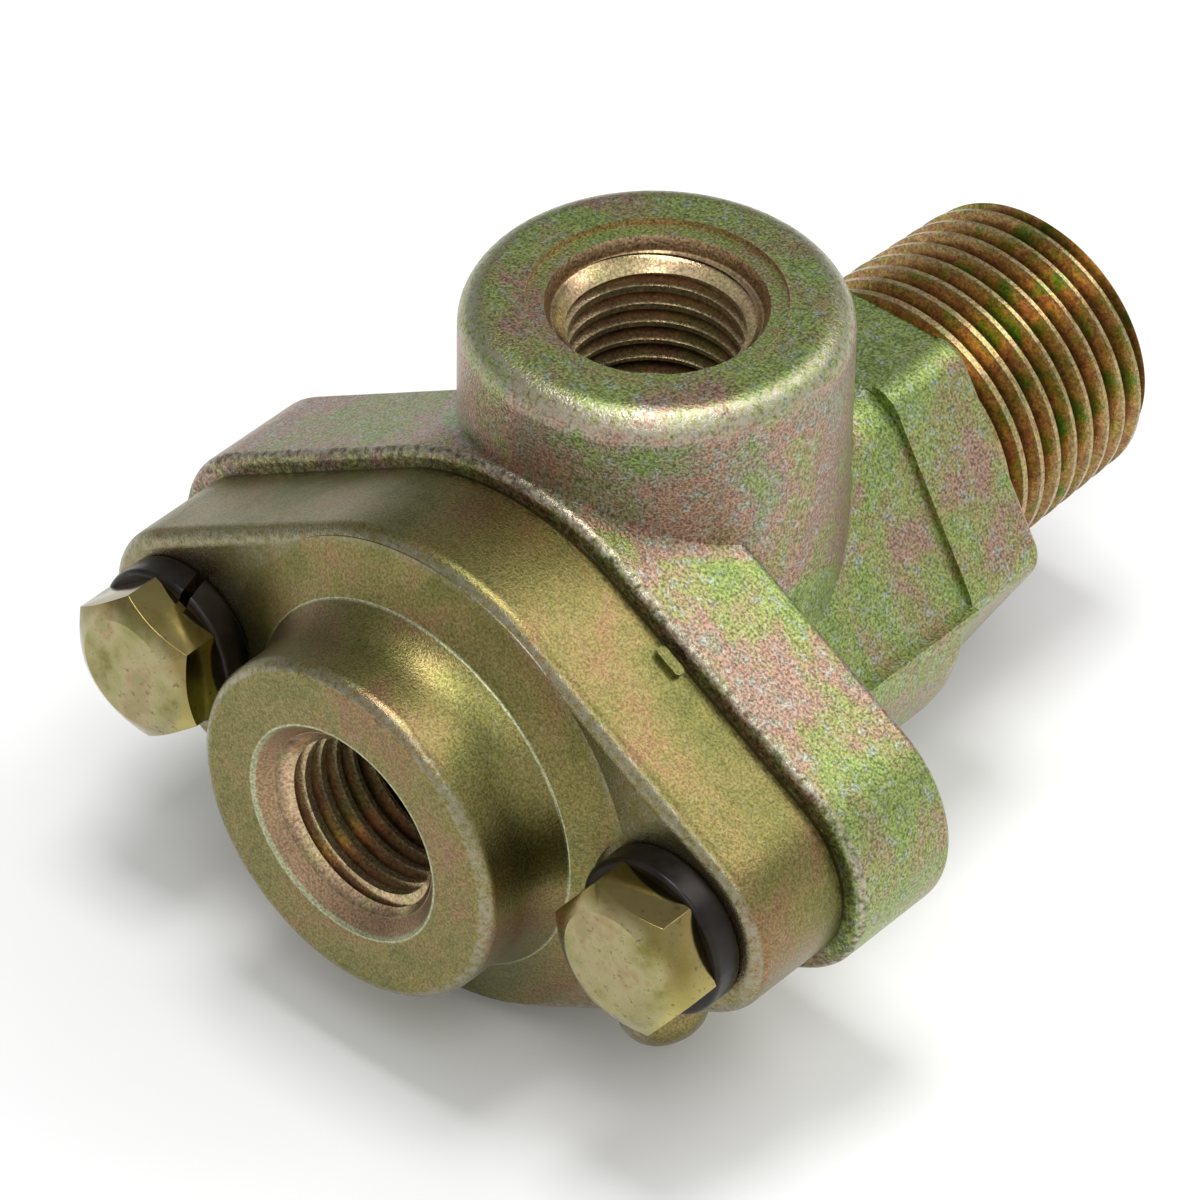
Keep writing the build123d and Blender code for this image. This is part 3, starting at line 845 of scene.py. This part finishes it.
def settle(piece, place, tilt, material):
    """Turns a piece to its axis, puts it in place and lets it ride on the housing."""
    select_only(piece)
    piece.location = place
    piece.rotation_euler = (tilt, 0, 0)
    bpy.ops.object.transform_apply(location=True, rotation=True, scale=True)
    bpy.ops.object.shade_smooth_by_angle(angle=thread_smooth_limit)
    dress(piece, material)
    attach(piece, "housing")


print("thread tools ready")

# %% [markdown]
# ## Male pipe end
#
# A 1/2 inch taper pipe thread has 14 turns per inch. Its stock is straight near the shoulder and then
# tapers to the tip, so the crests are broad at the shoulder and sharp at the tip, as in the photograph.

# %% Turn and thread the male end
inch = 25.4 * mm
pipe_pitch = inch / 14
male_bore = 6.5 * mm
male_tip = 10.36 * mm
male_chamfer = 0.9 * mm
bore_chamfer = 0.7 * mm
male_root = 9.57 * mm
male_tooth_top = 11.11 * mm
male_tooth_width = 1.6 * mm
male_run_out = 1.5 * pipe_pitch
# the ring starts a little inside the hexagon, so that no gap shows
buried = 0.3 * mm
straight_end = male_length - (male_crest * mm - male_tip) / pipe_taper
male_end = turned_ring("male_pipe_thread", [
    (male_crest * mm, -buried),
    (male_crest * mm, straight_end),
    (male_tip + male_chamfer * pipe_taper, male_length - male_chamfer),
    (male_tip - male_chamfer, male_length),
    (male_bore + bore_chamfer, male_length),
    (male_bore, male_length - bore_chamfer),
    (male_bore, -buried),
], segments=160)
die = thread_cutter(pipe_pitch, male_root, male_tooth_top, male_tooth_width, -male_run_out,
                    male_length + male_run_out, start_angle=math.radians(180))
cut_with(male_end, die)
settle(male_end, (0, 0, 0), -math.pi / 2, male_thread_zinc)

# %% [markdown]
# ## Tapped ports
#
# Both ports are tapped 1/4 inch taper pipe, 18 turns per inch. Their CAD bores have the size of the
# thread's root, so each thread is a thin sleeve that lines the bore, with the mouth countersunk through the
# first crests.

# %% Make a tapped sleeve
port_pitch = inch / 18
sleeve_outside = 6.88 * mm
port_root = 6.80 * mm
port_crest = 5.78 * mm
port_tooth_top = port_crest - 0.5 * mm
port_tooth_width = 1.24 * mm
mouth_depth = 1.05 * mm


def tapped_sleeve(name, length):
    """Sleeve about Z with its mouth at 0 and its thread running down to -length."""
    sleeve = turned_ring(name, [
        (sleeve_outside, 0),
        (port_root, 0),
        (port_crest, -mouth_depth),
        (port_crest - (length - mouth_depth) * pipe_taper, -length),
        (sleeve_outside, -length),
    ], segments=128)
    tap = thread_cutter(port_pitch, port_root, port_tooth_top, port_tooth_width, -length - port_pitch,
                        1.5 * port_pitch)
    cut_with(sleeve, tap)
    return sleeve


print("tap ready")

# %% Tap the side port and the cap port
side_length = mounts["side_port"]["dims"]["length_mm"] * mm
side_mouth = mounts["side_port"]["pos_m"][2] + side_length / 2
side_sleeve = tapped_sleeve("side_port_thread", side_length)
settle(side_sleeve, (0, side_y, side_mouth), 0, side_thread_zinc)

cap_length = mounts["cap_port"]["dims"]["length_mm"] * mm
cap_mouth = mounts["cap_port"]["pos_m"][1] - cap_length / 2
cap_sleeve = tapped_sleeve("cap_port_thread", cap_length)
settle(cap_sleeve, (0, cap_mouth, 0), math.pi / 2, cap_thread_zinc)

# %% [markdown]
# ## Floor
#
# The valve stands on its flange, so the floor touches the lowest point of the casting. It is plain and
# pale, like a sheet of studio paper, with a tone that hardly changes. A studio's paper often curves up
# behind the object, but this camera looks down and sees no horizon, so a flat plane is enough.

# %% Lay the floor
material, tree, place = start_material("pale_paper_floor")
tone = add(tree, "TexNoise", Vector=place, Scale=1 / 60, Detail=2)
tone = add(tree, "ValToRGB", ramp=[(0.3, "#f4f4f3"), (0.7, "#f7f7f6")], a=tone)
finish_material(material, tree, Base_Color=tone, Roughness=0.9)
bpy.ops.object.select_all(action="DESELECT")
bpy.ops.mesh.primitive_plane_add(size=6, location=(0, 0, cad_low.z))
floor = bpy.context.object
floor.name = "floor"
dress(floor, material)
print("floor at", round(cad_low.z / mm, 2), "mm")
